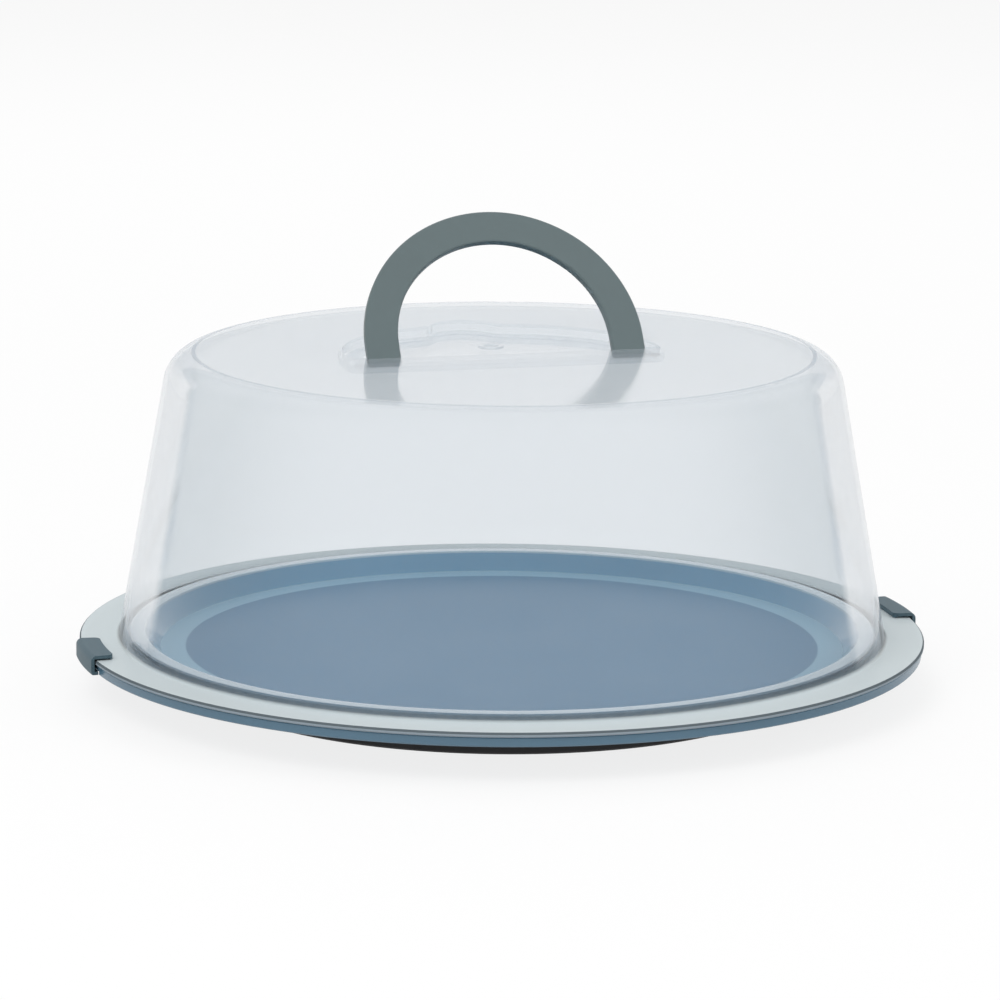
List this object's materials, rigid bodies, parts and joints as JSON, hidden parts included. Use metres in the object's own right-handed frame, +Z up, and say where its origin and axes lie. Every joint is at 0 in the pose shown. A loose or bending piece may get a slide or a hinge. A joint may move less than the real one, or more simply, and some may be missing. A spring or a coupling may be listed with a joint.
{
  "type": "cake carrier",
  "caption": "Round cake carrier: shallow tray on a soft foot ring, translucent lift-off dome with a fold-down handle, and side clips that hook over the dome's flange.",
  "frame": {"origin": "on the table under the centre of the tray", "axes": "+X to the right clip, parallel to the handle's hinge line, +Y to the back, where the handle folds, +Z up"},
  "size_m": [0.356, 0.352, 0.1934],
  "materials": {
    "tray_plastic": "glossy moulded polypropylene, blue-grey",
    "lid_plastic": "glossy translucent polypropylene, milky",
    "grip_plastic": "satin moulded polypropylene, slate grey",
    "foot_rubber": "matt black thermoplastic rubber",
    "pin_steel": "drawn steel wire"
  },
  "bodies": {
    "tray": {"tray": "tray_plastic", "foot_ring": "foot_rubber", "clip_pin_left": "pin_steel", "clip_pin_right": "pin_steel"},
    "lid": {"lid": "lid_plastic"},
    "handle": {"handle": "grip_plastic"},
    "clip_left": {"clip_left": "grip_plastic"},
    "clip_right": {"clip_right": "grip_plastic"}
  },
  "joints": [
    {"name": "lid_lift", "type": "slide", "parent": "tray", "child": "lid", "axis": [0, 0, 1], "range_m": [0, 0.15]},
    {"name": "handle_swing", "type": "hinge", "parent": "lid", "child": "handle", "pos_m": [0, -0.005, 0.138], "axis": [-1, 0, 0], "range_deg": [-34.8, 55.2]},
    {"name": "clip_left_hinge", "type": "hinge", "parent": "tray", "child": "clip_left", "pos_m": [-0.1733, 0, 0.0173], "axis": [0, -1, 0], "range_deg": [0, 115]},
    {"name": "clip_right_hinge", "type": "hinge", "parent": "tray", "child": "clip_right", "pos_m": [0.1733, 0, 0.0173], "axis": [0, 1, 0], "range_deg": [0, 115]}
  ]
}
